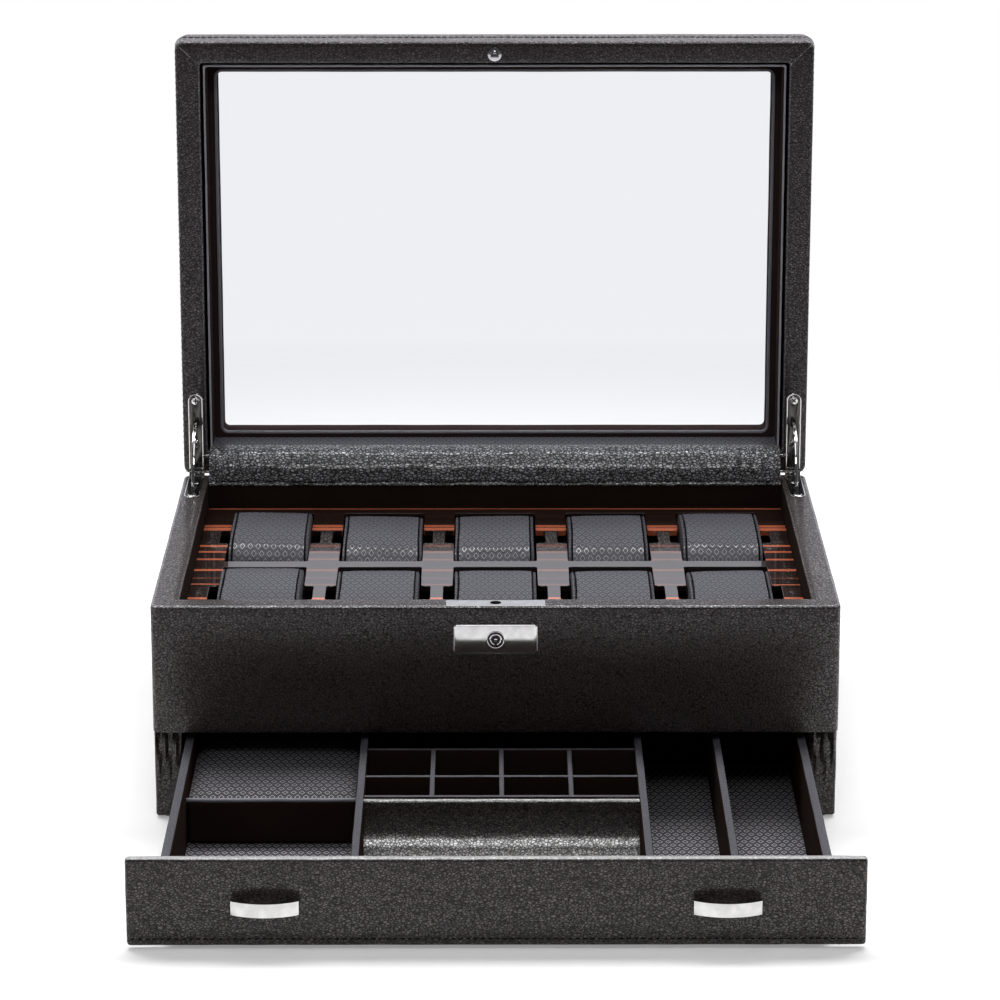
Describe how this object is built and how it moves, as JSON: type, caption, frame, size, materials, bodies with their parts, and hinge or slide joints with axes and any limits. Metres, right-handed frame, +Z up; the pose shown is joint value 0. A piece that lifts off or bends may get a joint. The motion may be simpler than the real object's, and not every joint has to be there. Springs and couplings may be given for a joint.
{
  "type": "watch storage box",
  "caption": "Leather watch box with a hinged glass lid, cuffs set in a striped veneer tray, a key lock and a divided drawer below.",
  "frame": {"origin": "centre of the underside, on the surface that the box stands on", "axes": "+Z up, -Y out of the front, +X to the right of someone who faces the front"},
  "size_m": [0.345, 0.4549, 0.3557],
  "materials": {
    "black_leather": "pebbled, semi-gloss",
    "slate_fabric": "diamond weave",
    "cuff_fabric": "diamond weave with a slight sheen",
    "striped_ebony": "high gloss lacquer",
    "polished_nickel": "polished",
    "clear_glass": "clear",
    "black_felt": "matt"
  },
  "bodies": {
    "case": {"front_panel": "black_leather", "left_side": "black_leather", "right_side": "black_leather", "back_panel": "black_leather", "middle_shelf": "slate_fabric", "base_panel": "black_leather", "base_felt": "black_felt", "watch_tray": "striped_ebony", "well_floor": "black_felt", "well_boards": "black_felt", "back_lining": "black_felt", "case_flap": "black_leather", "left_lower_leaf": "polished_nickel", "right_lower_leaf": "polished_nickel", "hinge_pins": "polished_nickel", "lower_hinge_screws": "polished_nickel", "lock_keyplate": "polished_nickel", "lock_case": "polished_nickel", "lock_rimplate": "polished_nickel", "drawer_runners": "black_felt"},
    "lid": {"lid_front_rail": "black_leather", "lid_rear_rail": "black_leather", "lid_left_rail": "black_leather", "lid_right_rail": "black_leather", "lid_glass": "clear_glass", "lid_lining": "slate_fabric", "lid_flap": "black_leather", "left_upper_leaf": "polished_nickel", "right_upper_leaf": "polished_nickel", "upper_hinge_screws": "polished_nickel", "lock_stud": "polished_nickel"},
    "drawer": {"drawer_front": "black_leather", "drawer_left_side": "black_leather", "drawer_right_side": "black_leather", "drawer_back": "black_leather", "drawer_bottom": "black_leather", "drawer_lining": "slate_fabric", "left_divider": "slate_fabric", "middle_divider": "slate_fabric", "right_divider": "slate_fabric", "raised_pad": "slate_fabric", "grid_dividers": "slate_fabric", "coin_scoop": "black_leather", "left_pull": "polished_nickel", "right_pull": "polished_nickel", "pull_screws": "polished_nickel"},
    "stay_left": {"left_stay": "polished_nickel"},
    "stay_right": {"right_stay": "polished_nickel"},
    "barrel": {"lock_barrel": "polished_nickel"},
    "bolt": {"lock_bolt": "polished_nickel"},
    "body_front_cuff_1": {"front_cuff_1": "cuff_fabric"},
    "body_front_cuff_2": {"front_cuff_2": "cuff_fabric"},
    "body_front_cuff_3": {"front_cuff_3": "cuff_fabric"},
    "body_front_cuff_4": {"front_cuff_4": "cuff_fabric"},
    "body_front_cuff_5": {"front_cuff_5": "cuff_fabric"},
    "body_rear_cuff_1": {"rear_cuff_1": "cuff_fabric"},
    "body_rear_cuff_2": {"rear_cuff_2": "cuff_fabric"},
    "body_rear_cuff_3": {"rear_cuff_3": "cuff_fabric"},
    "body_rear_cuff_4": {"rear_cuff_4": "cuff_fabric"},
    "body_rear_cuff_5": {"rear_cuff_5": "cuff_fabric"}
  },
  "joints": [
    {"name": "lid_hinge", "type": "hinge", "parent": "case", "child": "lid", "pos_m": [0, 0.12, 0.1157], "axis": [-1, 0, 0], "range_deg": [-90, 0]},
    {"name": "stay_left_swing", "type": "hinge", "parent": "case", "child": "stay_left", "pos_m": [-0.1655, 0.12, 0.1157], "axis": [-1, 0, 0], "range_deg": [-45, 0]},
    {"name": "stay_right_swing", "type": "hinge", "parent": "case", "child": "stay_right", "pos_m": [0.1655, 0.12, 0.1157], "axis": [-1, 0, 0], "range_deg": [-45, 0]},
    {"name": "drawer_slide", "type": "slide", "parent": "case", "child": "drawer", "axis": [0, -1, 0], "range_m": [-0.166, 0.01]},
    {"name": "barrel_turn", "type": "hinge", "parent": "case", "child": "barrel", "pos_m": [0, -0.12, 0.098], "axis": [0, -1, 0], "range_deg": [0, 90]},
    {"name": "bolt_slide", "type": "slide", "parent": "case", "child": "bolt", "axis": [-1, 0, 0], "range_m": [0, 0.004]},
    {"name": "front_cuff_1_lift", "type": "slide", "parent": "case", "child": "body_front_cuff_1", "axis": [0, 0, 1], "range_m": [0, 0.056]},
    {"name": "front_cuff_2_lift", "type": "slide", "parent": "case", "child": "body_front_cuff_2", "axis": [0, 0, 1], "range_m": [0, 0.056]},
    {"name": "front_cuff_3_lift", "type": "slide", "parent": "case", "child": "body_front_cuff_3", "axis": [0, 0, 1], "range_m": [0, 0.056]},
    {"name": "front_cuff_4_lift", "type": "slide", "parent": "case", "child": "body_front_cuff_4", "axis": [0, 0, 1], "range_m": [0, 0.056]},
    {"name": "front_cuff_5_lift", "type": "slide", "parent": "case", "child": "body_front_cuff_5", "axis": [0, 0, 1], "range_m": [0, 0.056]},
    {"name": "rear_cuff_1_lift", "type": "slide", "parent": "case", "child": "body_rear_cuff_1", "axis": [0, 0, 1], "range_m": [0, 0.056]},
    {"name": "rear_cuff_2_lift", "type": "slide", "parent": "case", "child": "body_rear_cuff_2", "axis": [0, 0, 1], "range_m": [0, 0.056]},
    {"name": "rear_cuff_3_lift", "type": "slide", "parent": "case", "child": "body_rear_cuff_3", "axis": [0, 0, 1], "range_m": [0, 0.056]},
    {"name": "rear_cuff_4_lift", "type": "slide", "parent": "case", "child": "body_rear_cuff_4", "axis": [0, 0, 1], "range_m": [0, 0.056]},
    {"name": "rear_cuff_5_lift", "type": "slide", "parent": "case", "child": "body_rear_cuff_5", "axis": [0, 0, 1], "range_m": [0, 0.056]}
  ],
  "couplings": [
    {"joint": "stay_left_swing", "follows": "lid_hinge", "ratio": 0.5},
    {"joint": "stay_right_swing", "follows": "lid_hinge", "ratio": 0.5},
    {"joint": "bolt_slide", "follows": "barrel_turn", "m_per_rad": 0.0025465}
  ]
}
